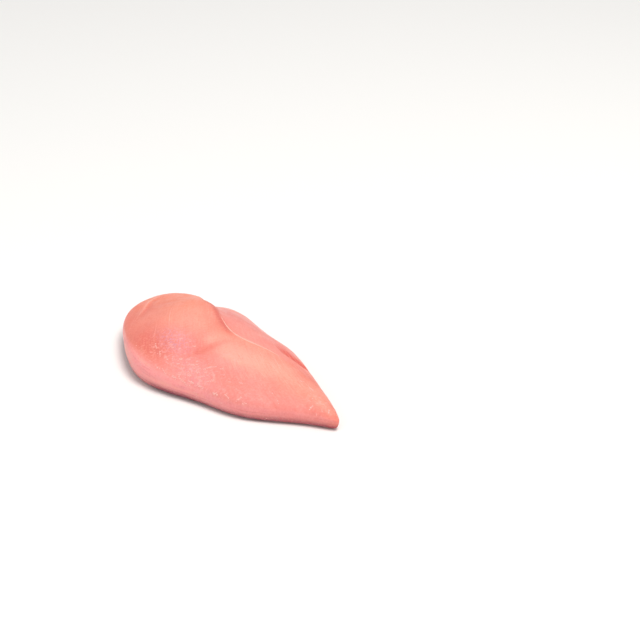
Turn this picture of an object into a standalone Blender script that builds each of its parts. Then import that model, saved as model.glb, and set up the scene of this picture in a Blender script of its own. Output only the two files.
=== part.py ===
"""A raw, skinless, boneless chicken breast, lying smooth side up.

The breast is one solid. +X runs along its length to the narrow tip, +Z is up, and the origin is at
the middle of its footprint on the surface that it lies on. The long edge at -Y is the thick one, and
the thinner flap is folded along the +Y edge.
"""

import math

import bpy
import numpy as np

MM = 0.001

# Driving sizes, in millimetres
LENGTH = 184.0
ROLL_SHARPNESS = 2.5
EDGE_ROLL = 5.0
EDGE_ROLL_WIDTH = 8.0
EDGE_ROLL_AT_TIP = 0.55
EDGE_THINS_FROM = 110.0
UNDER_ROLL_WIDTH = 5.0
UNDER_FLATTENING = 1.03
CROWN_LEAN = 0.25
NOTCH_PLACE = 29.5
NOTCH_REACH = 9.5
NOTCH_SHARE = 0.14
SEAM_ROLL_WIDTH = 7.0
SEAM_SOFTNESS = 2.0
# Where the seam begins to blur towards the tip and is all blurred, and how soft it is then
SEAM_BLURS = (104, 124)
SEAM_BLUR = 7.0
DROP_ROLL_WIDTH = 14.0
FLAP_DROP = 2.5
# Where the flap begins, is whole, starts to fade and is gone
FLAP_SPAN = (35, 50, 110, 150)
# From where to where across the breast, in half widths, the far edge's own forms fade in
NOTCH_ACROSS = (0.2, 1.0)
FLAP_ACROSS = (0.0, 1.0)

# Stations from the round end to the tip, in millimetres. Each row holds the distance along the
# length, the middle of the outline, its half width as if the outline were an ellipse, the height of
# the widest line above the board, and the height of the crown above the rolled edge.
STATIONS = (
    (0, 8, 56, 11.5, 8),
    (22, 2.5, 48.5, 11.5, 12),
    (46, -0.5, 50, 11.5, 17),
    (75, -6, 44, 9.5, 15),
    (108, -3, 38, 7.5, 12),
    (140, -5, 31, 7, 10),
    (166, -1, 19, 7, 6),
    (184, 0, 10, 6, 3.5),
)
# The seam where the flap meets the body: distance along the length, place across, and depth
SEAM = (
    (16, 44.5, 0),
    (30, 29.5, 7.5),
    (45, 20, 6),
    (58, 15.2, 4.5),
    (72, 7.6, 1.2),
    (90, 1.6, 0.8),
    (104, 3.6, 0.6),
    (120, 8.8, 0.9),
    (131, 10.2, 1.3),
    (141, 11.8, 1.1),
    (152, 15.5, 0),
)
# Broad soft swellings and hollows of the top: centre along and across, reach along and across, height
SWELLINGS = (
    (36, 22, 9, 8, -0.9),
    (72, -34, 16, 9, -1.3),
    (90, -20, 12, 9, -1.0),
    (112, -17, 15, 10, 1.0),
    (134, -6, 15, 9, 1.0),
)

# Cells of the mesh along, across and up
BOX_CELLS = (44, 24, 14)
FLESH = (0.86, 0.42, 0.35, 1.0)
FLESH_ROUGHNESS = 0.35


def curve_through(places, values, at):
    """A natural cubic spline through the stations, read at each of the given places."""
    places = np.array(places, float)
    values = np.array(values, float)
    gaps = np.diff(places)
    rises = np.diff(values) / gaps
    count = len(places)
    system = np.eye(count)
    for i in range(1, count - 1):
        system[i, i - 1 : i + 2] = gaps[i - 1], 2 * (gaps[i - 1] + gaps[i]), gaps[i]
    turns = np.zeros(count)
    turns[1:-1] = 6 * np.diff(rises)
    bends = np.linalg.solve(system, turns)
    at = np.clip(at, places[0], places[-1])
    left = np.clip(np.searchsorted(places, at, side="right") - 1, 0, count - 2)
    after = (at - places[left]) / gaps[left]
    before = 1 - after
    straight = before * values[left] + after * values[left + 1]
    bent = (before**3 - before) * bends[left] + (after**3 - after) * bends[left + 1]
    return straight + bent * gaps[left] ** 2 / 6


def ramp(start, end, at):
    """0 before start, 1 after end, and a smooth rise between them."""
    t = np.clip((at - start) / (end - start), 0, 1)
    return t * t * (3 - 2 * t)


def within(span, at):
    """1 in the middle of a span, fading to 0 at both ends of it."""
    return ramp(span[0], span[1], at) * (1 - ramp(span[2], span[3], at))


def rolled(depth):
    """The profile of a rolled edge: upright at its rim, level from about one roll width inwards."""
    return np.sqrt(1 - np.exp(-ROLL_SHARPNESS * np.maximum(depth, 0)))


def softened(depth, softness):
    """The depth itself well inside an edge, and a smooth run-out to 0 beyond it."""
    return softness * np.logaddexp(0, depth / softness)


def station(column, x):
    return curve_through([row[0] for row in STATIONS], [row[column] for row in STATIONS], x)


def seam(column, x):
    return curve_through([row[0] for row in SEAM], [row[column] for row in SEAM], x)


def body_surface(u, v, top):
    """Points of the skin in millimetres. u runs from -1 to 1 along the length and v across it."""
    x = LENGTH / 2 * (1 + u)
    notch = NOTCH_SHARE * np.exp(-(((x - NOTCH_PLACE) / NOTCH_REACH) ** 2)) * ramp(*NOTCH_ACROSS, v)
    half_width = station(2, x)
    y = station(1, x) + half_width * v * (1 - notch)
    reach = np.maximum(np.sqrt(u * u + v * v), 1e-6)
    slope = np.sqrt((2 * u / LENGTH) ** 2 + (v / half_width) ** 2)
    from_rim = (1 - reach) * reach / np.maximum(slope, 1e-9)

    rim = station(3, x) - FLAP_DROP * within(FLAP_SPAN, x) * ramp(*FLAP_ACROSS, v)
    edge = EDGE_ROLL * (1 - (1 - EDGE_ROLL_AT_TIP) * ramp(EDGE_THINS_FROM, LENGTH, x))
    crown = station(4, x) * (1 - reach**2) * (1 + CROWN_LEAN * v)
    high = rim + edge * rolled(from_rim / EDGE_ROLL_WIDTH) + crown
    for along, across, reach_along, reach_across, height in SWELLINGS:
        far = ((x - along) / reach_along) ** 2 + ((y - across) / reach_across) ** 2
        high = high + height * np.exp(-far)
    softness = SEAM_SOFTNESS + (SEAM_BLUR - SEAM_SOFTNESS) * ramp(*SEAM_BLURS, x)
    before_seam = softened(seam(1, x) - y, softness)
    drop = np.maximum(0, seam(2, x)) * (1 - rolled(before_seam / SEAM_ROLL_WIDTH))
    high = high - drop * rolled(from_rim / DROP_ROLL_WIDTH)
    low = np.maximum(0, rim * (1 - UNDER_FLATTENING * rolled(from_rim / UNDER_ROLL_WIDTH)))
    return np.stack([x, y, np.where(top, high, low)], axis=-1)


def rounded_box(cells):
    """A ball made of the six gridded sides of a box: unit vectors, and faces with four corners."""
    index = {}
    corners = []

    def corner(*place):
        if place not in index:
            index[place] = len(corners)
            turned = [math.tan(math.pi / 4 * (2 * p / n - 1)) for p, n in zip(place, cells)]
            size = math.sqrt(sum(c * c for c in turned))
            corners.append([c / size for c in turned])
        return index[place]

    faces = []
    for axis in range(3):
        one, two = (axis + 1) % 3, (axis + 2) % 3
        for end in (0, cells[axis]):
            for i in range(cells[one]):
                for j in range(cells[two]):
                    face = []
                    for di, dj in ((0, 0), (1, 0), (1, 1), (0, 1)):
                        place = [0, 0, 0]
                        place[axis] = end
                        place[one] = i + di
                        place[two] = j + dj
                        face.append(corner(*place))
                    faces.append(face if end else face[::-1])
    return np.array(corners), faces


def flesh_material():
    material = bpy.data.materials.new("raw_chicken_flesh")
    material.use_nodes = True
    shader = material.node_tree.nodes["Principled BSDF"]
    shader.inputs["Base Color"].default_value = FLESH
    shader.inputs["Roughness"].default_value = FLESH_ROUGHNESS
    shader.inputs["Metallic"].default_value = 0.0
    return material


def chicken_breast():
    """The whole breast as one closed mesh, its footprint centred on the origin."""
    ball, faces = rounded_box(BOX_CELLS)
    points = body_surface(ball[:, 0], ball[:, 1], ball[:, 2] >= 0)
    middle = (points.min(axis=0) + points.max(axis=0)) / 2
    points[:, :2] -= middle[:2]
    mesh = bpy.data.meshes.new("chicken_breast")
    mesh.from_pydata((points * MM).tolist(), [], faces)
    mesh.shade_smooth()
    mesh.materials.append(flesh_material())
    breast = bpy.data.objects.new("chicken_breast", mesh)
    bpy.context.scene.collection.objects.link(breast)
    return breast


def main():
    for old in list(bpy.data.objects):
        bpy.data.objects.remove(old, do_unlink=True)
    chicken_breast()


main()
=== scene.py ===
"""A raw chicken breast, dressed: moist flesh, thin pale fascia lines, wet specks and a plain studio.

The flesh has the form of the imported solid, with the fine relief of the muscle added. Sizes in the
tables are millimetres along the breast from its round end, across it from its middle line, and up.
"""

import math

import bpy
import numpy as np
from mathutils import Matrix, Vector


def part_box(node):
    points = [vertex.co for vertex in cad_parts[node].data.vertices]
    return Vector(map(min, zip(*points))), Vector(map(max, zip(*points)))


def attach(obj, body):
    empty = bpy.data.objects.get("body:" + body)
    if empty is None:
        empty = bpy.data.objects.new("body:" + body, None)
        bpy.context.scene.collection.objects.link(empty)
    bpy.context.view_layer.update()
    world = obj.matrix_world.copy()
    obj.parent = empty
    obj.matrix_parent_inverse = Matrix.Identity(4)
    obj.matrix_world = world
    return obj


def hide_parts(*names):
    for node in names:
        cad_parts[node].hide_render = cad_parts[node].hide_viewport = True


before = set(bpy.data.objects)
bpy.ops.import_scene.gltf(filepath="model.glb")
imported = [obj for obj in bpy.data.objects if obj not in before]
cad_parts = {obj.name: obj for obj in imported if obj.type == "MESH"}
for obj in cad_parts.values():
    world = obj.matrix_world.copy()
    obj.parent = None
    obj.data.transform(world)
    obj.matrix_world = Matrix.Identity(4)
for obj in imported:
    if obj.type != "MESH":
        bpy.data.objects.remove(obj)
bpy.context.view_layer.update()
node_low, node_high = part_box("chicken_breast")

bl_info = {
    "name": "Raw chicken breast",
    "version": (1, 0, 0),
    "blender": (4, 5, 0),
    "location": "3D View > Sidebar > Chicken",
    "description": "Models the flesh, fascia lines and wet specks of a raw chicken breast",
    "category": "Object",
}

MM = 0.001

# Form of the breast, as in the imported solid
LENGTH = 184.0
ROLL_SHARPNESS = 2.5
EDGE_ROLL = 5.0
EDGE_ROLL_WIDTH = 8.0
EDGE_ROLL_AT_TIP = 0.55
EDGE_THINS_FROM = 110.0
UNDER_ROLL_WIDTH = 5.0
UNDER_FLATTENING = 1.03
CROWN_LEAN = 0.25
NOTCH_PLACE = 29.5
NOTCH_REACH = 9.5
NOTCH_SHARE = 0.14
SEAM_ROLL_WIDTH = 7.0
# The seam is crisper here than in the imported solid, which has wider cells
SEAM_SOFTNESS = 1.3
# Where the seam begins to blur towards the tip and is all blurred, and how soft it is then
SEAM_BLURS = (104, 124)
SEAM_BLUR = 7.0
DROP_ROLL_WIDTH = 14.0
FLAP_DROP = 2.5
# Where the flap begins, is whole, starts to fade and is gone
FLAP_SPAN = (35, 50, 110, 150)
# From where to where across the breast, in half widths, the far edge's own forms fade in
NOTCH_ACROSS = (0.2, 1.0)
FLAP_ACROSS = (0.0, 1.0)
# Distance along, middle of the outline, half width, height of the widest line, crown above the edge
STATIONS = (
    (0, 8, 56, 11.5, 8),
    (22, 2.5, 48.5, 11.5, 12),
    (46, -0.5, 50, 11.5, 17),
    (75, -6, 44, 9.5, 15),
    (108, -3, 38, 7.5, 12),
    (140, -5, 31, 7, 10),
    (166, -1, 19, 7, 6),
    (184, 0, 10, 6, 3.5),
)
# The seam where the flap meets the body: distance along, place across, and depth
SEAM = (
    (16, 44.5, 0),
    (30, 29.5, 7.5),
    (45, 20, 6),
    (58, 15.2, 4.5),
    (72, 7.6, 1.2),
    (90, 1.6, 0.8),
    (104, 3.6, 0.6),
    (120, 8.8, 0.9),
    (131, 10.2, 1.3),
    (141, 11.8, 1.1),
    (152, 15.5, 0),
)
# Swellings and hollows of the top: centre along and across, reach along and across, height
SWELLINGS = (
    (36, 22, 9, 8, -0.9),
    (72, -34, 16, 9, -1.3),
    (90, -20, 12, 9, -1.0),
    (112, -17, 15, 10, 1.0),
    (134, -6, 15, 9, 1.0),
)
# Cells of the mesh along, across and up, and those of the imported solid
BOX_CELLS = (224, 112, 48)
PACKED_CELLS = (44, 24, 14)
# How steeply the muscle fibres cross the breast at its round end, and where they have turned straight
FAN = 1.4
FAN_END = 170.0
# Share of the way along the fibres that the ridges read, which draws them out
RIDGE_DRAW = 0.09

# The torn end of the flap along the breast: starts, is whole, starts to fade, ends. Its inner line,
# and outwards from that line the same four places.
TORN_SPAN = (103, 118, 131, 138)
TORN_LINE = ((96, 21), (111, 16.6), (120, 15.5), (126, 16.6), (131, 18.0), (140, 20.7))
TORN_ACROSS = (-1.0, 1.0, 4.5, 10.0)
# How deep it lies, the height and spacing of its strands, and how far and how often they waver
TORN_STEP = 0.4
TORN_RIDGE = 0.28
TORN_RIDGE_SPACING = 1.9
TORN_WAVER = 0.4
TORN_WAVER_LENGTH = 4.0
# How the folds rise inwards from the widest line, and the height that counts as a full fold
FOLD_RISE = (0, 3)
FOLD_FULL = 0.5
# How much of a lumpy fold's height comes and goes with its lumps
FOLD_LUMPS = 0.3

# Where the finish changes. Spans along the breast and inwards from its widest line are millimetres,
# spans across it are half widths, and spans up the side wall are shares of the widest line's height.
UPPER_WALL = (0.0, 0.5)
FAR_SIDE = (-0.5, 0.2)
# Painted shade along the far rim, where the flesh turns away from the light: how far inwards it fades
FAR_RIM = (1.0, 6.0)
TIP_SPAN = (85, 130)
# The thick near corner: its place and reach along the breast, and how it fades in across it
CORNER_PLACE = 62
CORNER_REACH = 26
CORNER_ACROSS = (0.35, 0.9)
# The pale band of the edge, partly its skin and partly a painted highlight on the rolled rim: the
# share of its width away from the corner, what the corner adds to that, and how much of the band is
# lost at the tip and on the far side
EDGE_BAND = (1.0, 11.0)
EDGE_WIDTH = 0.12
EDGE_CORNER_WIDTH = 0.45
EDGE_FADES = (115.0, 165.0)
EDGE_TIP_LOSS = 0.6
EDGE_FAR_LOSS = 0.8
# The mauve painted as shade at the foot of the wall, where it is deepest, and how much it gains
# there, loses at the corner and keeps round the tip
LOW_WALL = (0.15, 0.9)
DUSKY_SPAN = (68, 80, 96, 120)
DUSKY_WALL = (0.35, 0.8)
DUSKY_GAIN = 0.35
DUSKY_CORNER_LOSS = 0.2
TIP_DUSK = 0.15
TIP_DUSK_INWARDS = (0, 6)
# Where drawn-out fibres show on top, and the least that they show
DRAWN_SPAN = (90, 115, 150, 175)
DRAWN_INWARDS = (4, 14)
DRAWN_LEAST = 0.35
# Where the thick long edge's cooler pink spreads over the top
NEAR_SPAN = (50, 85, 170, 200)
NEAR_ACROSS = (-0.1, 0.5)
# Painted shade in red at the bottom of the fold between body and flap: its span, how far it lies
# from the seam towards the body, and its half width
CREASE_SPAN = (20, 35, 82, 100)
CREASE_INSIDE = 1.8
CREASE_HALF_WIDTH = 2.4
# From where to where past the seam, in millimetres, the flap's own pink tint and the salmon painted
# as shade on it fade in
FLAP_PINK = (-1.0, 1.5)
# The most that a zone may count
ZONE_MOST = 1.5

# Zones of colour and wetness: name, centre along and across, reach along and across, strength.
# The salmon zones deepen the flesh's tone and are painted shade on the far side, on the round end's
# left and in the hollows; the pale zones are painted highlight on the swellings and the tip; the
# silver zones are silver skin with a painted lilac sheen; the wet zones also carry a painted sheen.
ZONES = (
    ("salmon", 46, -34, 24, 14, 0.78),
    ("salmon", 66, -38, 18, 10, 0.7),
    ("salmon", 88, -22, 12, 8, 0.7),
    ("salmon", 34, 10, 22, 13, 0.8),
    ("salmon", 60, 22, 18, 11, 1.1),
    ("salmon", 100, 26, 30, 8, 0.75),
    ("salmon", 142, 13, 14, 5, 0.8),
    ("salmon", 172, -6, 10, 5, 0.5),
    ("salmon", 112, -28, 12, 6, 0.25),
    ("salmon", 20, -10, 13, 24, 0.95),
    ("salmon", 126, -27, 12, 9, 0.35),
    ("salmon", 79, 0, 8, 5, 0.4),
    ("salmon", 150, -14, 16, 8, 0.45),
    ("pale", 61, -9, 15, 11, 0.55),
    ("pale", 96, -11, 14, 7.5, 0.6),
    ("pale", 116, -11, 15, 7, 0.75),
    ("pale", 132, -3, 18, 8, 0.65),
    ("pale", 150, 2, 14, 7, 0.35),
    ("pale", 168, 1, 8, 5, 0.35),
    ("silver", 71, -27, 14, 7, 1.0),
    ("silver", 100, -36, 18, 6, 0.5),
    ("warm", 15, 0, 9, 14, 0.6),
    ("warm", 24, 16, 16, 15, 0.9),
    ("warm", 44, 8, 15, 16, 0.9),
    ("wet", 68, -38, 13, 8, 1.0),
    ("wet", 92, -36, 18, 9, 1.0),
    ("wet", 116, -33, 18, 8, 0.8),
    ("wet", 74, -25, 10, 6, 0.5),
    ("wet", 168, 0, 9, 6, 0.9),
    ("wet", 142, -24, 12, 7, 0.5),
)
# Soft folds of the top: height, half width, how many lumps, then places along and across
FOLDS = (
    (-0.55, 2.6, 0, ((84, -33), (87, -28), (89.5, -23), (91.5, -16), (94.5, -8), (99, -2))),
    (0.80, 1.9, 5, ((97, -16), (104, -17.2), (107, -15.4), (111, -15.3), (116.5, -14.5), (123, -7))),
    (0.50, 2.2, 2, ((84, -10), (85.5, -12.3), (88.8, -14.3), (92, -17))),
    (0.45, 1.3, 0, ((8.2, 13), (9.6, 6), (12.3, -1.4), (19, -10), (21.9, -14.7), (27.5, -23.5))),
    (-0.55, 1.9, 0, ((13.6, 8.5), (13, 4.5), (16, -1), (21, -8), (25.5, -14), (31, -22))),
    (0.30, 1.0, 0, ((72, 4), (79, 1), (86, 0), (100, 3), (112, 6.3), (122, 9.0))),
)
# Pale lines of fascia on the flesh: half width, then places along and across
LINES = (
    (0.32, ((8.2, 11.0), (10.0, 4.5), (12.3, -1.4), (19.0, -10.0))),
    (0.14, ((19.0, -10.0), (21.9, -14.7), (25.6, -20.3), (28.4, -24.9))),
    (0.22, ((40.5, -4.5), (43.8, -8.2), (47.9, -12.4), (52.0, -16.0), (57.9, -21.1), (62.0, -24.2))),
    (0.12, ((49.0, -22.5), (53.5, -28.0), (59.0, -34.0))),
    (0.13, ((114.5, -3.5), (121.0, -6.5), (127.0, -9.5))),
    (0.13, ((127.0, -10.7), (132.5, -12.0), (138.0, -12.6))),
    (0.15, ((125.0, -0.1), (131.0, -2.6), (137.5, -4.6))),
    (0.13, ((119.5, 10.0), (127.0, 7.0), (135.0, 4.2))),
    (0.13, ((150.0, 6.5), (154.0, 4.5), (160.0, 1.5))),
    (0.17, ((119.0, 7.0), (125.0, 4.0), (131.0, 1.2), (137.0, -1.2))),
    (0.14, ((113.0, 2.0), (119.0, -1.0), (125.0, -4.4))),
    (0.16, ((57.0, -44.6), (65.5, -47.6), (74.5, -48.0))),
)
# Pale wet flecks in rows: where each row begins and ends, along and across, and its width
FLECKS = (
    (78.2, -39.0, 78.9, -38.6, 0.9),
    (85.3, -33.5, 84.3, -34.2, 1.0),
    (87.8, -31.4, 89.6, -30.6, 0.7),
    (85.6, -37.2, 86.6, -36.6, 0.9),
    (93.7, -29.4, 94.3, -29.0, 0.9),
    (93.2, -33.2, 94.8, -31.8, 0.8),
    (95.4, -31.0, 96.4, -30.0, 0.9),
    (100.2, -33.9, 100.9, -33.2, 1.1),
    (101.6, -30.4, 103.6, -27.4, 1.0),
    (103.6, -27.2, 106.6, -24.8, 0.8),
    (109.8, -24.7, 110.8, -23.9, 0.9),
    (103.8, -31.7, 104.5, -31.0, 0.9),
    (104.4, -34.2, 105.4, -33.1, 0.8),
    (106.0, -32.1, 106.8, -31.7, 0.6),
    (108.4, -30.6, 110.4, -29.4, 0.7),
    (114.5, -26.7, 115.2, -26.0, 0.9),
    (91.8, -41.3, 92.8, -40.4, 0.9),
    (97.5, -38.6, 98.5, -37.7, 0.9),
    (88.8, -43.6, 91.6, -43.4, 1.1),
    (93.1, -42.1, 99.0, -41.7, 1.0),
    (99.5, -40.2, 103.0, -39.5, 0.9),
    (105.6, -38.7, 110.0, -38.0, 1.1),
    (110.0, -34.2, 112.4, -32.0, 1.0),
    (121.0, -27.8, 121.9, -27.1, 0.8),
    (127.2, -24.5, 128.3, -23.7, 0.8),
    (117.8, -36.9, 120.3, -36.0, 1.3),
    (83.0, -23.4, 84.4, -22.5, 0.7),
    (78.8, -22.4, 79.6, -21.7, 0.5),
    (73.5, -31.8, 74.4, -31.2, 0.65),
    (77.8, -29.7, 78.8, -28.9, 0.55),
    (67.2, -25.4, 68.3, -24.6, 0.5),
    (72.5, -24.8, 73.9, -23.8, 0.6),
    (124.8, -34.0, 128.6, -34.1, 0.8),
    (133.2, -32.6, 134.8, -29.8, 0.9),
    (137.3, -31.5, 139.2, -30.1, 0.8),
    (62.4, -35.1, 65.9, -37.0, 1.0),
    (69.2, -37.4, 72.8, -39.8, 0.7),
    (80.4, -44.4, 84.6, -45.0, 0.8),
    (76.6, -45.3, 77.8, -45.5, 1.2),
    (167.5, -4.6, 168.1, -7.8, 1.0),
    (175.5, 0.5, 177.0, -1.2, 1.0),
    (147.6, 3.4, 149.2, 5.0, 0.7),
    (154.9, 4.3, 157.6, 4.5, 0.8),
)
# The pale line on the seam: from where to where along the breast, and its half width
SEAM_LINE = (70, 123)
SEAM_LINE_HALF_WIDTH = 1.0
# How many places each line and each fold is worked out at
LINE_STEPS = 90
FOLD_STEPS = 40
# How blunt the ends of a line are, how far it wavers, and how much of its width comes and goes
LINE_TAPER = 0.7
LINE_WAVER = 0.15
LINE_UNEVEN = 0.25
# How fast those two come and go, in radians a millimetre
WAVER_ALONG = 0.7
WAVER_ACROSS = 0.9
WAVER_SLANT = 0.31
UNEVEN_ALONG = 0.9
UNEVEN_ACROSS = 1.3
# Share of a line's radius that is sunk in the flesh, and the height in metres that it is laid from
LINE_SINK = 0.78
ABOVE = 0.1
# Beads of a row of flecks, as shares of its width: their spacing, step aside, size and its change
BEAD_SPACING = 0.55
BEAD_ASIDE = 0.25
BEAD_SIZE = 1.15
BEAD_CHANGE = 0.35
# How far, in radians from bead to bead, the step aside and the change of size move on
ASIDE_TURN = 3.7
CHANGE_TURN = 2.3
# Shape of the smallest and the largest speck, as shares of its size: length, width and thickness
SPECK_LEAST = (0.45, 0.36, 0.15)
SPECK_MOST = (1.0, 0.68, 0.24)
# Specks lie in clumps of about this size in millimetres, and start and end to thin out at these
# brightnesses of their pattern
CLUMP_SIZE = 5.0
CLUMP_EDGE = (0.52, 0.66)

# Patterns of the flesh: the coordinates that each reads, its size along and across in millimetres,
# its detail and its roughness. Real bundles of muscle fibre are about half a millimetre thick, and
# are drawn coarser, so that they show.
PATTERNS = {
    "cloud": ("Object", 16, 16, 3.0, 0.5),
    "streak": ("fibres", 26, 1.8, 4.0, 0.6),
    "patches": ("Object", 12, 12, 2.0, 0.5),
    "strand": ("fibres", 7, 0.75, 2.0, 0.5),
    "speckle": ("Object", 1.1, 1.1, 3.0, 0.7),
    "bloom": ("Object", 2.4, 2.4, 2.0, 0.55),
    "layer": ("bands", 30, 1.6, 3.0, 0.6),
    "mottle": ("Object", 1.2, 1.2, 3.0, 0.7),
    "film": ("Object", 7, 7, 4.0, 0.5),
    "grain": ("Object", 0.9, 0.9, 3.0, 0.6),
}
RANGE_INPUTS = ("From Min", "From Max", "To Min", "To Max")
# Tints laid over the peach in turn: the tint, the zone that it keeps to, then what it is multiplied
# by. That is a plain share or a pattern, with the brightness at which the pattern starts and ends
# to count, and what it counts there.
TINTS = (
    ("salmon", None, ("cloud", 0.38, 0.70, 0.0, 0.42)),
    ("pink", "near", 0.5),
    # Salmon on its zones: the flesh's deeper tone, and painted shade
    ("salmon", "salmon", 0.85),
    # Pale on its zones: painted highlight on the swellings and the tip
    ("pale", "pale", 0.7),
    ("warm", "warm", 0.6),
    # The flap's own pink, then salmon on it as painted shade
    ("pink", "beyond", 0.4),
    ("salmon", "beyond", 0.3),
    ("pale", None, ("streak", 0.54, 0.75, 0.0, 0.30)),
    ("salmon", None, ("streak", 0.46, 0.28, 0.0, 0.22)),
    ("pale", "drawn", ("patches", 0.42, 0.62, 0.25, 1.0), ("strand", 0.5, 0.72, 0.0, 0.55)),
    ("salmon", "drawn", ("patches", 0.42, 0.62, 0.25, 1.0), ("strand", 0.5, 0.3, 0.0, 0.26)),
    # The silver skin, with a painted lilac sheen
    ("silver", "silver", ("speckle", 0.44, 0.58, 0.05, 0.7)),
    # Painted sheen of the wet film round the specks
    ("haze", "wet", ("bloom", 0.52, 0.68, 0.0, 0.32)),
    # The edge band: its skin, and a painted highlight on the rolled rim
    ("pink", "edge", 0.85),
    ("pale", "edge", ("layer", 0.50, 0.68, 0.0, 0.60)),
    ("mauve", "edge", ("layer", 0.46, 0.28, 0.0, 0.26)),
    # Painted shade in mauve at the foot of the wall
    ("mauve", "low", ("layer", 0.3, 0.7, 1.0, 0.75)),
    # Painted shade along the far rim
    ("red", "far_rim", 0.3),
    # Painted highlight on the raised folds and painted shade in the sunken ones
    ("pale", "raised", 0.55),
    ("salmon", "sunken", 0.5),
    ("red", "torn", ("layer", 0.35, 0.65, 0.8, 0.3)),
    # Painted shade in red at the bottom of the fold
    ("red", "crease", 0.65),
    ("pale", None, ("mottle", 0.45, 0.7, 0.0, 0.25)),
    ("salmon", None, ("mottle", 0.5, 0.3, 0.0, 0.23)),
)
# The wet film: the brightness at which its pattern starts and ends to count, and its roughness there
FILM_ROUGHNESS = (0.35, 0.65, 0.30, 0.46)
# How much the streaks count against the grain in the finest relief, and its height in millimetres
STREAK_RELIEF = 1.6
FINE_RELIEF = 0.12

# Lamps: name, place in metres, size, power in watts, colour
LIGHTS = (
    ("overhead_softbox", (0.55, 0.05, 1.6), 0.9, 20.3, (1.0, 0.985, 0.96)),
    ("front_softbox", (0.3, -1.9, 0.9), 1.2, 3.5, (1.0, 0.99, 0.98)),
    ("left_softbox", (-1.7, -0.9, 0.8), 1.0, 4.0, (0.98, 0.98, 1.0)),
    ("back_softbox", (-1.5, 1.5, 0.75), 1.2, 1.5, (1.0, 0.98, 0.95)),
)
# Strength of the even light from all round
WORLD_STRENGTH = 0.48
# Half the floor's side, and how far it lies below the breast, in metres
FLOOR_HALF = 6.0
FLOOR_DROP = 0.0002
# Camera: place in metres, direction in degrees, lens in millimetres on a 36 mm sensor
CAMERA_PLACE = (0.8273, -0.6729, 0.5700)
CAMERA_AZIMUTH = 48.0
CAMERA_ELEVATION = 26.586
CAMERA_LENS = 114.57
SENSOR_WIDTH = 36.0
# From where to where the camera sees, in metres
CAMERA_CLIP = (0.01, 100)


def linear(hex_colour):
    """An sRGB hex colour as linear red, green and blue."""
    parts = [int(hex_colour[i : i + 2], 16) / 255 for i in (1, 3, 5)]
    return tuple(p / 12.92 if p <= 0.04045 else ((p + 0.055) / 1.055) ** 2.4 for p in parts)


def add_node(tree, kind, settings=None, inputs=None):
    """Adds a node with its settings. An input is a value, or the socket that is linked to it."""
    node = tree.nodes.new(kind)
    for name, value in (settings or {}).items():
        setattr(node, name, value)
    for name, value in (inputs or {}).items():
        if isinstance(value, bpy.types.NodeSocket):
            tree.links.new(value, node.inputs[name])
        else:
            node.inputs[name].default_value = value
    return node


def curve_through(places, values, at):
    """A natural cubic spline through the stations, read at each of the given places."""
    places = np.array(places, float)
    values = np.array(values, float)
    gaps = np.diff(places)
    rises = np.diff(values) / gaps
    count = len(places)
    system = np.eye(count)
    for i in range(1, count - 1):
        system[i, i - 1 : i + 2] = gaps[i - 1], 2 * (gaps[i - 1] + gaps[i]), gaps[i]
    turns = np.zeros(count)
    turns[1:-1] = 6 * np.diff(rises)
    bends = np.linalg.solve(system, turns)
    at = np.clip(at, places[0], places[-1])
    left = np.clip(np.searchsorted(places, at, side="right") - 1, 0, count - 2)
    after = (at - places[left]) / gaps[left]
    before = 1 - after
    straight = before * values[left] + after * values[left + 1]
    bent = (before**3 - before) * bends[left] + (after**3 - after) * bends[left + 1]
    return straight + bent * gaps[left] ** 2 / 6


def ramp(start, end, at):
    """0 before start, 1 after end, and a smooth rise between them."""
    t = np.clip((at - start) / (end - start), 0, 1)
    return t * t * (3 - 2 * t)


def within(span, at):
    """1 in the middle of a span, fading to 0 at both ends of it."""
    return ramp(span[0], span[1], at) * (1 - ramp(span[2], span[3], at))


def rolled(depth):
    """The profile of a rolled edge: upright at its rim, level from about one roll width inwards."""
    return np.sqrt(1 - np.exp(-ROLL_SHARPNESS * np.maximum(depth, 0)))


def softened(depth, softness):
    """The depth itself well inside an edge, and a smooth run-out to 0 beyond it."""
    return softness * np.logaddexp(0, depth / softness)


def station(column, x):
    """A column of the stations, read at any distance along the breast."""
    return curve_through([row[0] for row in STATIONS], [row[column] for row in STATIONS], x)


def seam(column, x):
    """A column of the seam's table, read at any distance along the breast."""
    return curve_through([row[0] for row in SEAM], [row[column] for row in SEAM], x)


def past_torn_line(x, y):
    """How far a place lies beyond the inner line of the torn end of the flap, in millimetres."""
    return y - curve_through([place[0] for place in TORN_LINE], [place[1] for place in TORN_LINE], x)


def torn(x, y):
    """1 on the torn end of the flap, where red strands lie bare."""
    return within(TORN_SPAN, x) * within(TORN_ACROSS, past_torn_line(x, y))


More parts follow.
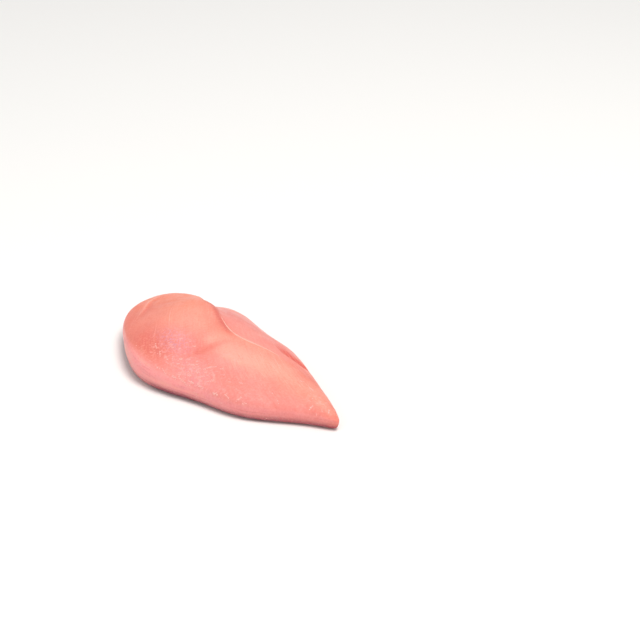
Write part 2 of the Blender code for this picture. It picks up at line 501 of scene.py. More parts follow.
def body_surface(u, v, top):
    """Points of the skin in millimetres, and what the finish reads from them."""
    x = LENGTH / 2 * (1 + u)
    notch = NOTCH_SHARE * np.exp(-(((x - NOTCH_PLACE) / NOTCH_REACH) ** 2)) * ramp(*NOTCH_ACROSS, v)
    half_width = station(2, x)
    y = station(1, x) + half_width * v * (1 - notch)
    reach = np.maximum(np.sqrt(u * u + v * v), 1e-6)
    slope = np.sqrt((2 * u / LENGTH) ** 2 + (v / half_width) ** 2)
    from_rim = (1 - reach) * reach / np.maximum(slope, 1e-9)

    rim = station(3, x) - FLAP_DROP * within(FLAP_SPAN, x) * ramp(*FLAP_ACROSS, v)
    edge = EDGE_ROLL * (1 - (1 - EDGE_ROLL_AT_TIP) * ramp(EDGE_THINS_FROM, LENGTH, x))
    crown = station(4, x) * (1 - reach**2) * (1 + CROWN_LEAN * v)
    high = rim + edge * rolled(from_rim / EDGE_ROLL_WIDTH) + crown
    for along, across, reach_along, reach_across, height in SWELLINGS:
        far = ((x - along) / reach_along) ** 2 + ((y - across) / reach_across) ** 2
        high = high + height * np.exp(-far)
    softness = SEAM_SOFTNESS + (SEAM_BLUR - SEAM_SOFTNESS) * ramp(*SEAM_BLURS, x)
    before_seam = softened(seam(1, x) - y, softness)
    drop = np.maximum(0, seam(2, x)) * (1 - rolled(before_seam / SEAM_ROLL_WIDTH))
    high = high - drop * rolled(from_rim / DROP_ROLL_WIDTH)
    wavering = past_torn_line(x, y) + TORN_WAVER * np.sin(x / TORN_WAVER_LENGTH)
    strand = np.sin(2 * math.pi * wavering / TORN_RIDGE_SPACING)
    fold = folds(x, y)
    fine = fold + (TORN_RIDGE * strand - TORN_STEP) * torn(x, y)
    high = high + fine * ramp(*FOLD_RISE, from_rim)
    low = np.maximum(0, rim * (1 - UNDER_FLATTENING * rolled(from_rim / UNDER_ROLL_WIDTH)))
    z = np.where(top, high, low)

    marks = finish_marks(x, y, v, top, from_rim, z / rim, fold)
    fanned = np.minimum(x, FAN_END)
    fibres = np.stack([x, y + FAN * (fanned - fanned**2 / (2 * FAN_END))], axis=-1)
    bands = np.stack([x, np.where(top, from_rim, z - rim)], axis=-1)
    return np.stack([x, y, z], axis=-1), marks, fibres, bands


def finish_marks(x, y, v, top, from_rim, up_wall, fold):
    """How much each zone of the finish counts at each place of the skin."""
    on_top = np.where(top, 1.0, 0.0)
    far_side = ramp(*FAR_SIDE, v)
    near_tip = ramp(*TIP_SPAN, x) * (1 - far_side)
    corner = near_corner(x, v)
    inwards = from_rim / (EDGE_WIDTH + EDGE_CORNER_WIDTH * corner)
    edge = np.where(top, 1 - ramp(*EDGE_BAND, inwards), 1.0)
    edge_kept = (1 - EDGE_TIP_LOSS * ramp(*EDGE_FADES, x)) * (1 - EDGE_FAR_LOSS * far_side)
    dusky = (DUSKY_GAIN * within(DUSKY_SPAN, x) - DUSKY_CORNER_LOSS * corner) * (1 - far_side)
    wall_foot_shade = 1 - (1 - TIP_DUSK * near_tip) * ramp(*LOW_WALL, up_wall)
    wall_foot_shade = wall_foot_shade + dusky * (1 - ramp(*DUSKY_WALL, up_wall))
    tip_rim_shade = TIP_DUSK * near_tip * (1 - ramp(*TIP_DUSK_INWARDS, from_rim))
    drawn = DRAWN_LEAST + (1 - DRAWN_LEAST) * within(DRAWN_SPAN, x)
    marks = {
        "upper": np.where(top, 1.0, ramp(*UPPER_WALL, up_wall)),
        "edge": edge_kept * edge,
        # Painted shade in mauve low on the wall and at the tip's rim
        "low": np.where(top, tip_rim_shade, wall_foot_shade),
        "drawn": drawn * ramp(*DRAWN_INWARDS, from_rim) * on_top,
        # Painted shade along the far rim
        "far_rim": far_side * (1 - ramp(*FAR_RIM, from_rim)),
        "torn": torn(x, y),
        # Painted highlight on the raised folds and painted shade in the sunken ones
        "raised": np.clip(fold / FOLD_FULL, 0, 1) * on_top,
        "sunken": np.clip(-fold / FOLD_FULL, 0, 1) * on_top,
        "near": within(NEAR_SPAN, x) * ramp(*NEAR_ACROSS, -v),
        # Painted shade at the bottom of the fold
        "crease": crease(x, y) * on_top,
        "beyond": within(FLAP_SPAN, x) * ramp(*FLAP_PINK, y - seam(1, x)),
    }
    for name, along, across, reach_along, reach_across, strength in ZONES:
        far = ((x - along) / reach_along) ** 2 + ((y - across) / reach_across) ** 2
        marks[name] = marks.get(name, 0) + strength * np.exp(-far) * marks["upper"]
    return {name: np.clip(values, 0, ZONE_MOST) for name, values in marks.items()}


def smooth_route(points, count):
    """Places along and across at even steps of a smooth curve through the given places."""
    knots = np.linspace(0, 1, len(points))
    share = np.linspace(0, 1, count)
    x = curve_through(knots, [point[0] for point in points], share)
    y = curve_through(knots, [point[1] for point in points], share)
    return x, y, share


def folds(x, y):
    """Height in millimetres that the soft folds add at each place."""
    total = np.zeros(len(x))
    for height, half_width, lumps, points in FOLDS:
        for along, across, share in zip(*smooth_route(points, FOLD_STEPS)):
            far = ((x - along) ** 2 + (y - across) ** 2) / half_width**2
            wave = 1 - FOLD_LUMPS + FOLD_LUMPS * math.cos(2 * math.pi * lumps * share)
            bump = height * wave * math.sin(math.pi * share) * np.exp(-far)
            total = np.where(np.abs(bump) > np.abs(total), bump, total)
    return total


def near_corner(x, v):
    """1 round the thick near corner of the breast, where the pale edge band is widest."""
    return np.exp(-(((x - CORNER_PLACE) / CORNER_REACH) ** 2)) * ramp(*CORNER_ACROSS, -v)


def crease(x, y):
    """1 in the bottom of the fold between the body and the flap, where shade is painted in red."""
    off = (y - seam(1, x) + CREASE_INSIDE) / CREASE_HALF_WIDTH
    return within(CREASE_SPAN, x) * np.exp(-(off**2))


def rounded_box(cells):
    """A ball made of the six gridded sides of a box: unit vectors, and faces with four corners."""
    index = {}
    corners = []

    def corner(*place):
        if place not in index:
            index[place] = len(corners)
            turned = [math.tan(math.pi / 4 * (2 * p / n - 1)) for p, n in zip(place, cells)]
            size = math.sqrt(sum(c * c for c in turned))
            corners.append([c / size for c in turned])
        return index[place]

    faces = []
    for axis in range(3):
        one, two = (axis + 1) % 3, (axis + 2) % 3
        for end in (0, cells[axis]):
            for i in range(cells[one]):
                for j in range(cells[two]):
                    face = []
                    for di, dj in ((0, 0), (1, 0), (1, 1), (0, 1)):
                        place = [0, 0, 0]
                        place[axis] = end
                        place[one] = i + di
                        place[two] = j + dj
                        face.append(corner(*place))
                    faces.append(face if end else face[::-1])
    return np.array(corners), faces


def home():
    """The step from the tables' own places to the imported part's, in millimetres."""
    ball, _ = rounded_box(PACKED_CELLS)
    points = body_surface(ball[:, 0], ball[:, 1], ball[:, 2] >= 0)[0]
    middle = (points.min(axis=0) + points.max(axis=0)) / 2
    packed = (node_low + node_high) / 2 / MM
    return np.array([packed.x - middle[0], packed.y - middle[1], 0.0])


def colour_setting(name, description, hex_colour):
    """A colour that the panel shows."""
    return bpy.props.FloatVectorProperty(
        name=name, description=description, subtype="COLOR", default=linear(hex_colour)
    )


def length_setting(name, description, metres):
    """A length that the panel shows."""
    return bpy.props.FloatProperty(name=name, description=description, default=metres, unit="LENGTH")


class FleshSettings(bpy.types.PropertyGroup):
    fibre_spacing: length_setting(
        "Fibre spacing", "Distance between the bundles of muscle that show as faint ridges", 0.0022
    )
    fibre_depth: length_setting("Fibre depth", "Height that those ridges span at most", 0.0002)
    lump_size: length_setting("Lump size", "Size of the soft unevenness", 0.014)
    lump_depth: length_setting("Lump depth", "Height that the soft unevenness spans at most", 0.0006)
    peach: colour_setting("Peach", "Colour of the flesh on top", "#F69986")
    # Salmon is the flesh's deeper tone, and also painted shade in hollows, on the far side and the round
    # end's left
    salmon: colour_setting("Salmon", "Deeper colour of the flesh in its hollows", "#E37669")
    # Pale is the flesh's lighter tone, and also painted highlight on the swellings, raised folds and the
    # tip
    pale: colour_setting("Pale", "Colour where the flesh is stretched and lightest", "#FDB4A2")
    warm: colour_setting("Warm", "Colour of the round end's top", "#F98F6E")
    # Pink is partly the rolled edge's skin and partly a painted highlight along it
    pink: colour_setting("Pink", "Cooler colour of the rolled edge", "#FEA4A5")
    # Silver is the thin silver skin, with a painted lilac sheen on it
    silver: colour_setting("Silver", "Colour of the thin silver skin left on top", "#E2A0B1")
    # Painted sheen of the wet film round the specks
    haze: colour_setting("Haze", "Colour of the cloudy film round the wet specks", "#FFC4BE")
    # Mauve is painted shade at the foot of the side wall, and the darker stripes of the edge
    mauve: colour_setting("Mauve", "Colour low on the side wall", "#85394F")
    # Red is the torn strip's own colour, and painted shade at the bottom of the fold and on the far rim
    red: colour_setting("Red", "Colour of the torn strip and the bottom of the fold", "#D4483E")


class WetSettings(bpy.types.PropertyGroup):
    spread: bpy.props.FloatProperty(
        name="Specks per square metre",
        description="How close the wet specks lie where they are closest",
        default=120000.0,
    )
    speck: length_setting("Speck size", "Length of the largest specks", 0.0010)
    seed: bpy.props.IntProperty(name="Seed", description="Scatter of the specks", default=7)
    line_width: bpy.props.FloatProperty(
        name="Line width", description="Width of the fascia lines against their table", default=1.0
    )


def new_material(name, values):
    """A material, its tree and its shader, with the given values on the shader's own sockets."""
    material = bpy.data.materials.new(name)
    material.use_nodes = True
    shader = material.node_tree.nodes["Principled BSDF"]
    for socket, value in values.items():
        shader.inputs[socket].default_value = value
    return material, material.node_tree, shader


def flesh_patterns(tree):
    """The brightness of each pattern of the flesh."""
    patterns = {}
    for name, (source, along, across, detail, roughness) in PATTERNS.items():
        if source == "Object":
            place = add_node(tree, "ShaderNodeTexCoord").outputs["Object"]
        else:
            place = add_node(tree, "ShaderNodeUVMap", {"uv_map": source}).outputs["UV"]
        scale = (1 / (along * MM), 1 / (across * MM), 1 / (across * MM))
        sized = add_node(tree, "ShaderNodeMapping", None, {"Vector": place, "Scale": scale})
        values = {"Vector": sized.outputs["Vector"], "Scale": 1.0, "Detail": detail, "Roughness": roughness}
        patterns[name] = add_node(tree, "ShaderNodeTexNoise", None, values).outputs["Fac"]
    return patterns


def flesh_colour(tree, patterns, looks):
    """The colour of the flesh: the peach, with each tint laid over it in turn."""
    colour = (*looks.peach, 1)
    for tint, zone, *factors in TINTS:
        share = None
        if zone:
            share = add_node(tree, "ShaderNodeAttribute", {"attribute_name": zone}).outputs["Fac"]
        for factor in factors:
            if isinstance(factor, tuple):
                values = dict(zip(RANGE_INPUTS, factor[1:]), Value=patterns[factor[0]])
                factor = add_node(tree, "ShaderNodeMapRange", None, values).outputs["Result"]
            if share is not None:
                settings = {"operation": "MULTIPLY", "use_clamp": True}
                factor = add_node(tree, "ShaderNodeMath", settings, {0: share, 1: factor}).outputs[0]
            share = factor
        values = {0: share, 6: colour, 7: (*getattr(looks, tint), 1)}
        colour = add_node(tree, "ShaderNodeMix", {"data_type": "RGBA"}, values).outputs[2]
    return colour


def flesh_material(looks):
    """Cut raw poultry muscle under a film of water.

    It looks soft and slightly see-through, satin with wet glints, and streaked along its fibres.
    """
    values = {
        "IOR": 1.4,
        "Subsurface Weight": 0.35,
        "Subsurface Radius": (1.0, 0.35, 0.22),
        "Subsurface Scale": 2.5 * MM,
        "Specular IOR Level": 0.14,
        "Coat Weight": 0.04,
        "Coat Roughness": 0.22,
        "Coat IOR": 1.33,
    }
    material, tree, shader = new_material("raw_poultry_flesh", values)
    patterns = flesh_patterns(tree)
    tree.links.new(flesh_colour(tree, patterns, looks), shader.inputs["Base Color"])
    values = dict(zip(RANGE_INPUTS, FILM_ROUGHNESS), Value=patterns["film"])
    film = add_node(tree, "ShaderNodeMapRange", None, values)
    tree.links.new(film.outputs["Result"], shader.inputs["Roughness"])
    values = {0: patterns["streak"], 1: STREAK_RELIEF, 2: patterns["grain"]}
    relief = add_node(tree, "ShaderNodeMath", {"operation": "MULTIPLY_ADD"}, values)
    values = {"Strength": 0.25, "Distance": FINE_RELIEF * MM, "Height": relief.outputs[0]}
    bump = add_node(tree, "ShaderNodeBump", None, values)
    tree.links.new(bump.outputs["Normal"], shader.inputs["Normal"])
    return material


def tissue_material(name, roughness, patch_size, detail, one, two):
    """Pale wet tissue in two tones, whose patches have the given size in millimetres."""
    values = {
        "Roughness": roughness,
        "Subsurface Weight": 0.3,
        "Subsurface Radius": (1.0, 0.5, 0.4),
        "Subsurface Scale": 1 * MM,
    }
    material, tree, shader = new_material(name, values)
    place = add_node(tree, "ShaderNodeTexCoord").outputs["Object"]
    values = {"Vector": place, "Scale": 1 / (patch_size * MM), "Detail": detail}
    uneven = add_node(tree, "ShaderNodeTexNoise", None, values).outputs["Fac"]
    values = {0: uneven, 6: (*linear(one), 1), 7: (*linear(two), 1)}
    colour = add_node(tree, "ShaderNodeMix", {"data_type": "RGBA"}, values).outputs[2]
    tree.links.new(colour, shader.inputs["Base Color"])
    return material


def speck_material():
    """Small flecks of fat and wet tissue, pale and shiny, whose pale colour is also a painted glint."""
    return tissue_material("fat_flecks_and_glints", 0.22, 6, 2.0, "#FDB0A4", "#FFCCC4")


def fascia_material():
    """Silver skin and fine fascia: thin, pale and faintly shiny lines that cling to the flesh."""
    return tissue_material("thin_fascia", 0.35, 4, 3.0, "#FCB19F", "#FFC6B7")


def floor_material():
    """Matt white studio board, which gives a plain ground with soft shadows."""
    values = {"Base Color": (*linear("#FAF9F7"), 1), "Roughness": 0.7, "Specular IOR Level": 0.2}
    return new_material("matt_studio_board", values)[0]


def new_tree(name, sizes):
    """An empty geometry tree with a geometry in and out, and named number inputs."""
    tree = bpy.data.node_groups.new(name, "GeometryNodeTree")
    tree.interface.new_socket("Geometry", in_out="INPUT", socket_type="NodeSocketGeometry")
    for label, kind in sizes:
        tree.interface.new_socket(label, in_out="INPUT", socket_type=kind)
    tree.interface.new_socket("Geometry", in_out="OUTPUT", socket_type="NodeSocketGeometry")
    return tree, add_node(tree, "NodeGroupInput").outputs


def close_tree(tree, geometry, material):
    """Ends a tree in Realize Instances and Set Material."""
    real = add_node(tree, "GeometryNodeRealizeInstances", None, {"Geometry": geometry})
    dressed = add_node(
        tree, "GeometryNodeSetMaterial", None, {"Geometry": real.outputs[0], "Material": material}
    )
    add_node(tree, "NodeGroupOutput", None, {"Geometry": dressed.outputs[0]})


def unevenness(tree, vector, size, height, detail):
    """A soft random rise and fall of about the given size, over the given height."""
    scale = add_node(tree, "ShaderNodeMath", {"operation": "DIVIDE"}, {0: 1.0, 1: size}).outputs[0]
    values = {"Vector": vector, "Scale": scale, "Detail": detail}
    noise = add_node(tree, "ShaderNodeTexNoise", None, values).outputs["Fac"]
    centred = add_node(tree, "ShaderNodeMath", {"operation": "SUBTRACT"}, {0: noise, 1: 0.5}).outputs[0]
    return add_node(tree, "ShaderNodeMath", {"operation": "MULTIPLY"}, {0: centred, 1: height}).outputs[0]


def relief_tree(material):
    """Pushes the skin in and out: soft lumps, and ridges along the fibres."""
    sizes = (
        ("Fibre spacing", "NodeSocketFloat"),
        ("Fibre depth", "NodeSocketFloat"),
        ("Lump size", "NodeSocketFloat"),
        ("Lump depth", "NodeSocketFloat"),
    )
    tree, given = new_tree("muscle_relief", sizes)
    place = add_node(tree, "GeometryNodeInputPosition").outputs[0]
    lump = unevenness(tree, place, given["Lump size"], given["Lump depth"], 1.5)
    lanes = add_node(
        tree, "GeometryNodeInputNamedAttribute", {"data_type": "FLOAT_VECTOR"}, {"Name": "lanes"}
    ).outputs["Attribute"]
    values = {0: lanes, 1: (RIDGE_DRAW, 1.0, 1.0)}
    drawn_out = add_node(tree, "ShaderNodeVectorMath", {"operation": "MULTIPLY"}, values).outputs[0]
    ridge = unevenness(tree, drawn_out, given["Fibre spacing"], given["Fibre depth"], 2.0)

    upper = add_node(
        tree, "GeometryNodeInputNamedAttribute", {"data_type": "FLOAT"}, {"Name": "upper"}
    ).outputs["Attribute"]
    both = add_node(tree, "ShaderNodeMath", {"operation": "ADD"}, {0: lump, 1: ridge}).outputs[0]
    height = add_node(tree, "ShaderNodeMath", {"operation": "MULTIPLY"}, {0: both, 1: upper}).outputs[0]
    normal = add_node(tree, "GeometryNodeInputNormal").outputs[0]
    values = {0: normal, "Scale": height}
    step = add_node(tree, "ShaderNodeVectorMath", {"operation": "SCALE"}, values).outputs[0]
    values = {"Geometry": given["Geometry"], "Offset": step}
    moved = add_node(tree, "GeometryNodeSetPosition", None, values).outputs[0]
    smooth = add_node(tree, "GeometryNodeSetShadeSmooth", None, {"Geometry": moved})
    close_tree(tree, smooth.outputs[0], material)
    return tree


def skin_below(tree, flesh):
    """The flesh as a geometry, and where a ray straight down from each point meets it."""
    skin = add_node(tree, "GeometryNodeObjectInfo", None, {"Object": flesh}).outputs["Geometry"]
    place = add_node(tree, "GeometryNodeInputPosition").outputs[0]
    down = {"Ray Direction": (0, 0, -1), "Ray Length": 1.0}
    values = {"Target Geometry": skin, "Source Position": place, **down}
    return skin, add_node(tree, "GeometryNodeRaycast", None, values).outputs


def speck_tree(material, flesh):
    """Scatters flat, wet specks where the flesh is marked wet, and lays a bead at each given point."""
    sizes = (
        ("Specks per square metre", "NodeSocketFloat"),
        ("Speck size", "NodeSocketFloat"),
        ("Seed", "NodeSocketInt"),
    )
    tree, given = new_tree("wet_specks", sizes)
    skin, hit = skin_below(tree, flesh)
    values = {"Radius": 0.5, "Segments": 8, "Rings": 5}
    ball = add_node(tree, "GeometryNodeMeshUVSphere", None, values).outputs["Mesh"]

    def instances(at, turn, largest):
        values = {"Min": SPECK_LEAST, "Max": SPECK_MOST, "Seed": given["Seed"]}
        shape = add_node(tree, "FunctionNodeRandomValue", {"data_type": "FLOAT_VECTOR"}, values)
        values = {0: shape.outputs["Value"], "Scale": largest}
        size = add_node(tree, "ShaderNodeVectorMath", {"operation": "SCALE"}, values)
        values = {"Points": at, "Instance": ball, "Rotation": turn, "Scale": size.outputs[0]}
        return add_node(tree, "GeometryNodeInstanceOnPoints", None, values).outputs[0]

    wet = add_node(
        tree, "GeometryNodeInputNamedAttribute", {"data_type": "FLOAT"}, {"Name": "wet"}
    ).outputs["Attribute"]
    place = add_node(tree, "GeometryNodeInputPosition").outputs[0]
    values = {"Vector": place, "Scale": 1 / (CLUMP_SIZE * MM), "Detail": 1.0}
    clumps = add_node(tree, "ShaderNodeTexNoise", None, values).outputs["Fac"]
    values = {"Value": clumps, "From Min": CLUMP_EDGE[0], "From Max": CLUMP_EDGE[1]}
    share = add_node(tree, "ShaderNodeMapRange", None, values).outputs["Result"]
    for other in (wet, given["Specks per square metre"]):
        values = {0: other, 1: share}
        share = add_node(tree, "ShaderNodeMath", {"operation": "MULTIPLY"}, values).outputs[0]
    values = {"Mesh": skin, "Density": share, "Seed": given["Seed"]}
    points = add_node(
        tree, "GeometryNodeDistributePointsOnFaces", {"distribute_method": "RANDOM"}, values
    ).outputs
    scattered = instances(points["Points"], points["Rotation"], given["Speck size"])

    settings = {"data_type": "FLOAT_VECTOR", "domain": "POINT"}
    values = {"Geometry": given["Geometry"], "Name": "way_out", "Value": hit["Hit Normal"]}
    marked = add_node(tree, "GeometryNodeStoreNamedAttribute", settings, values).outputs[0]
    values = {"Geometry": marked, "Selection": hit["Is Hit"], "Position": hit["Hit Position"]}
    laid = add_node(tree, "GeometryNodeSetPosition", None, values).outputs[0]
    way_out = add_node(
        tree, "GeometryNodeInputNamedAttribute", {"data_type": "FLOAT_VECTOR"}, {"Name": "way_out"}
    ).outputs["Attribute"]
    outwards = add_node(
        tree, "FunctionNodeAlignRotationToVector", {"axis": "Z"}, {"Vector": way_out}
    ).outputs[0]
    bead_size = add_node(
        tree, "GeometryNodeInputNamedAttribute", {"data_type": "FLOAT"}, {"Name": "size"}
    ).outputs["Attribute"]
    rows = instances(laid, outwards, bead_size)

    joined = add_node(tree, "GeometryNodeJoinGeometry")
    tree.links.new(scattered, joined.inputs[0])
    tree.links.new(rows, joined.inputs[0])
    smooth = add_node(tree, "GeometryNodeSetShadeSmooth", None, {"Geometry": joined.outputs[0]})
    close_tree(tree, smooth.outputs[0], material)
    return tree


def line_tree(material, flesh):
    """Lays thin lines on the flesh, sunk so that only their backs show."""
    sizes = (("Line width", "NodeSocketFloat"), ("Sink", "NodeSocketFloat"))
    tree, given = new_tree("fascia_lines", sizes)
    hit = skin_below(tree, flesh)[1]
    radius = add_node(tree, "GeometryNodeInputRadius").outputs[0]
    values = {0: radius, 1: given["Sink"]}
    depth = add_node(tree, "ShaderNodeMath", {"operation": "MULTIPLY"}, values).outputs[0]
    values = {0: hit["Hit Normal"], "Scale": depth}
    sunk = add_node(tree, "ShaderNodeVectorMath", {"operation": "SCALE"}, values).outputs[0]
    values = {0: hit["Hit Position"], 1: sunk}
    at = add_node(tree, "ShaderNodeVectorMath", {"operation": "SUBTRACT"}, values).outputs[0]
    values = {"Geometry": given["Geometry"], "Selection": hit["Is Hit"], "Position": at}
    laid = add_node(tree, "GeometryNodeSetPosition", None, values).outputs[0]
    values = {"Resolution": 8, "Radius": given["Line width"]}
    ring = add_node(tree, "GeometryNodeCurvePrimitiveCircle", None, values).outputs[0]
    values = {"Curve": laid, "Profile Curve": ring, "Scale": radius, "Fill Caps": True}
    tube = add_node(tree, "GeometryNodeCurveToMesh", None, values).outputs[0]
    smooth = add_node(tree, "GeometryNodeSetShadeSmooth", None, {"Geometry": tube})
    close_tree(tree, smooth.outputs[0], material)
    return tree


def baked(source, name, tree, values):
    """Runs a geometry tree on an object and returns the result as a plain mesh object."""
    modifier = source.modifiers.new(tree.name, "NODES")
    modifier.node_group = tree
    for item in tree.interface.items_tree:
        if item.in_out == "INPUT" and item.name in values:
            modifier[item.identifier] = values[item.name]
    bpy.context.view_layer.update()
    graph = bpy.context.evaluated_depsgraph_get()
    mesh = bpy.data.meshes.new_from_object(source.evaluated_get(graph), depsgraph=graph)
    mesh.name = name
    if len(mesh.polygons) == 0:
        raise RuntimeError(f"{name} came out empty")
    bpy.data.objects.remove(source, do_unlink=True)
    piece = bpy.data.objects.new(name, mesh)
    bpy.context.scene.collection.objects.link(piece)
    return piece


def line_routes():
    """The fascia lines as (half width, along, across, share) in the tables' millimetres."""
    routes = [(half_width, *smooth_route(points, LINE_STEPS)) for half_width, points in LINES]
    x = np.linspace(*SEAM_LINE, LINE_STEPS)
    routes.append((SEAM_LINE_HALF_WIDTH, x, seam(1, x), np.linspace(0, 1, LINE_STEPS)))
    return routes


def fleck_beads():
    """Places along and across, and a size, of the beads that the rows of flecks are made of."""
    beads = []
    for x0, y0, x1, y1, width in FLECKS:
        count = 2 + int(math.hypot(x1 - x0, y1 - y0) / (BEAD_SPACING * width))
        for i in range(count):
            share = i / (count - 1)
            aside = BEAD_ASIDE * width * math.sin(ASIDE_TURN * len(beads))
            size = width * (BEAD_SIZE + BEAD_CHANGE * math.sin(CHANGE_TURN * len(beads)))
            beads.append((x0 + (x1 - x0) * share + aside, y0 + (y1 - y0) * share - aside, size))
    return np.array(beads)


class BREAST_OT_flesh(bpy.types.Operator):
    """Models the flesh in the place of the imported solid"""

    bl_idname = "breast.flesh"
    bl_label = "Flesh"

    def execute(self, context):
        looks = context.scene.breast_flesh
        ball, faces = rounded_box(BOX_CELLS)
        points, marks, fibres, bands = body_surface(ball[:, 0], ball[:, 1], ball[:, 2] >= 0)
        mesh = bpy.data.meshes.new("flesh_form")
        mesh.from_pydata(((points + home()) * MM).tolist(), [], faces)
        for name, values in marks.items():
            layer = mesh.attributes.new(name, "FLOAT", "POINT")
            layer.data.foreach_set("value", values.astype(np.float32))
        flat = np.concatenate([fibres * MM, np.zeros((len(fibres), 1))], axis=1)
        mesh.attributes.new("lanes", "FLOAT_VECTOR", "POINT").data.foreach_set("vector", flat.ravel())
        corners = np.empty(len(mesh.loops), np.int32)
        mesh.loops.foreach_get("vertex_index", corners)
        for name, places in (("fibres", fibres), ("bands", bands)):
            unrolled = mesh.uv_layers.new(name=name)
            unrolled.data.foreach_set("uv", (places * MM)[corners].ravel())
        form = bpy.data.objects.new("flesh_form", mesh)
        context.scene.collection.objects.link(form)
        sizes = {
            "Fibre spacing": looks.fibre_spacing,
            "Fibre depth": looks.fibre_depth,
            "Lump size": looks.lump_size,
            "Lump depth": looks.lump_depth,
        }
        flesh = baked(form, "breast_flesh", relief_tree(flesh_material(looks)), sizes)
        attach(flesh, "root")
        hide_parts("chicken_breast")
        return {"FINISHED"}


class BREAST_OT_lines(bpy.types.Operator):
    """Lays the pale fascia lines on the flesh"""

    bl_idname = "breast.lines"
    bl_label = "Fascia lines"

    def execute(self, context):
        wet = context.scene.breast_wet
        paths = bpy.data.curves.new("fascia_paths", "CURVE")
        paths.dimensions = "3D"
        to_x, to_y, _ = home()
        for number, (half_width, x, y, share) in enumerate(line_routes()):
            taper = np.maximum(np.sin(math.pi * share), 0.001) ** LINE_TAPER
            slanted = np.sin(y * WAVER_ACROSS + x * WAVER_SLANT)
            waver = LINE_WAVER * np.sin(x * WAVER_ALONG + number) * slanted
            swell = np.sin(x * UNEVEN_ALONG + 2 * number) * np.sin(y * UNEVEN_ACROSS)
            uneven = 1 - LINE_UNEVEN + LINE_UNEVEN * swell
            spline = paths.splines.new("POLY")
            spline.points.add(len(x) - 1)
            for point, px, py, radius in zip(spline.points, x, y + waver, half_width * taper * uneven):
                point.co = ((px + to_x) * MM, (py + to_y) * MM, ABOVE, 1)
                point.radius = radius * MM
        source = bpy.data.objects.new("fascia_paths", paths)
        context.scene.collection.objects.link(source)
        tree = line_tree(fascia_material(), bpy.data.objects["breast_flesh"])
        lines = baked(source, "fascia_lines", tree, {"Line width": wet.line_width, "Sink": LINE_SINK})
        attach(lines, "root")
        return {"FINISHED"}


class BREAST_OT_specks(bpy.types.Operator):
    """Lays the rows of flecks and scatters wet specks over the flesh"""

    bl_idname = "breast.specks"
    bl_label = "Wet specks"

    def execute(self, context):
        wet = context.scene.breast_wet
        beads = fleck_beads()
        to_x, to_y, _ = home()
        mesh = bpy.data.meshes.new("speck_start")
        mesh.from_pydata([((x + to_x) * MM, (y + to_y) * MM, ABOVE) for x, y, _ in beads], [], [])
        mesh.attributes.new("size", "FLOAT", "POINT").data.foreach_set("value", beads[:, 2] * MM)
        start = bpy.data.objects.new("speck_start", mesh)
        context.scene.collection.objects.link(start)
        tree = speck_tree(speck_material(), bpy.data.objects["breast_flesh"])
        values = {"Specks per square metre": wet.spread, "Speck size": wet.speck, "Seed": wet.seed}
        specks = baked(start, "wet_specks", tree, values)
        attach(specks, "root")
        return {"FINISHED"}


def studio_floor():
    """A wide flat board just below the breast."""
    mesh = bpy.data.meshes.new("studio_floor")
    corners = [(x * FLOOR_HALF, y * FLOOR_HALF, 0) for x, y in ((-1, -1), (1, -1), (1, 1), (-1, 1))]
    mesh.from_pydata(corners, [], [(0, 1, 2, 3)])
    mesh.materials.append(floor_material())
    floor = bpy.data.objects.new("studio_floor", mesh)
    floor.location.z = -FLOOR_DROP
    bpy.context.scene.collection.objects.link(floor)
    return floor


def studio_lights(scene):
    """Soft disc lamps that face the breast, and an even light from all round."""
    world = bpy.data.worlds.new("studio_world")
    world.use_nodes = True
    around = world.node_tree.nodes["Background"]
    around.inputs["Color"].default_value = (1.0, 1.0, 1.0, 1)
    around.inputs["Strength"].default_value = WORLD_STRENGTH
    scene.world = world
    for name, place, size, power, colour in LIGHTS:
        lamp = bpy.data.lights.new(name, "AREA")
        lamp.shape = "DISK"
        lamp.size = size
        lamp.energy = power
        lamp.color = colour
        light = bpy.data.objects.new(name, lamp)
        light.location = place
        light.rotation_euler = (-Vector(place)).to_track_quat("-Z", "Y").to_euler()
        scene.collection.objects.link(light)


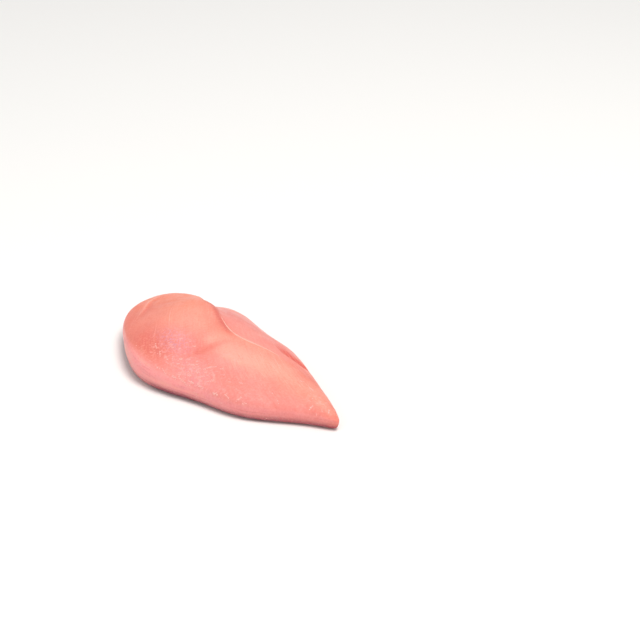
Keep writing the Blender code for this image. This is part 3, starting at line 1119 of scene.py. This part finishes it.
def photo_camera(scene):
    """The camera at the photograph's viewing angle."""
    lens = bpy.data.cameras.new("camera")
    lens.lens = CAMERA_LENS
    lens.sensor_width = SENSOR_WIDTH
    lens.clip_start, lens.clip_end = CAMERA_CLIP
    camera = bpy.data.objects.new("camera", lens)
    a, e = math.radians(CAMERA_AZIMUTH), math.radians(CAMERA_ELEVATION)
    back_way = Vector((math.sin(a) * math.cos(e), -math.cos(a) * math.cos(e), math.sin(e)))
    camera.location = CAMERA_PLACE
    camera.rotation_euler = (-back_way).to_track_quat("-Z", "Y").to_euler()
    scene.collection.objects.link(camera)
    scene.camera = camera


class BREAST_OT_stage(bpy.types.Operator):
    """Sets the floor, the lights and the camera"""

    bl_idname = "breast.stage"
    bl_label = "Studio"

    def execute(self, context):
        floor = studio_floor()
        studio_lights(context.scene)
        photo_camera(context.scene)
        context.scene.view_settings.view_transform = "Standard"
        return {"FINISHED"}


class BREAST_PT_panel(bpy.types.Panel):
    """The breast's settings and steps"""

    bl_idname = "BREAST_PT_panel"
    bl_label = "Raw chicken breast"
    bl_space_type = "VIEW_3D"
    bl_region_type = "UI"
    bl_category = "Chicken"

    def draw(self, context):
        for settings in (context.scene.breast_flesh, context.scene.breast_wet):
            for name in settings.__annotations__:
                self.layout.prop(settings, name)
        for step in STEPS:
            self.layout.operator(step.bl_idname)


STEPS = (BREAST_OT_flesh, BREAST_OT_lines, BREAST_OT_specks, BREAST_OT_stage)
CLASSES = (FleshSettings, WetSettings, *STEPS, BREAST_PT_panel)


def register():
    for item in CLASSES:
        bpy.utils.register_class(item)
    bpy.types.Scene.breast_flesh = bpy.props.PointerProperty(type=FleshSettings)
    bpy.types.Scene.breast_wet = bpy.props.PointerProperty(type=WetSettings)


def unregister():
    del bpy.types.Scene.breast_wet
    del bpy.types.Scene.breast_flesh
    for item in reversed(CLASSES):
        bpy.utils.unregister_class(item)


def main():
    register()
    bpy.ops.breast.flesh()
    bpy.ops.breast.lines()
    bpy.ops.breast.specks()
    bpy.ops.breast.stage()


if __name__ == "__main__":
    main()
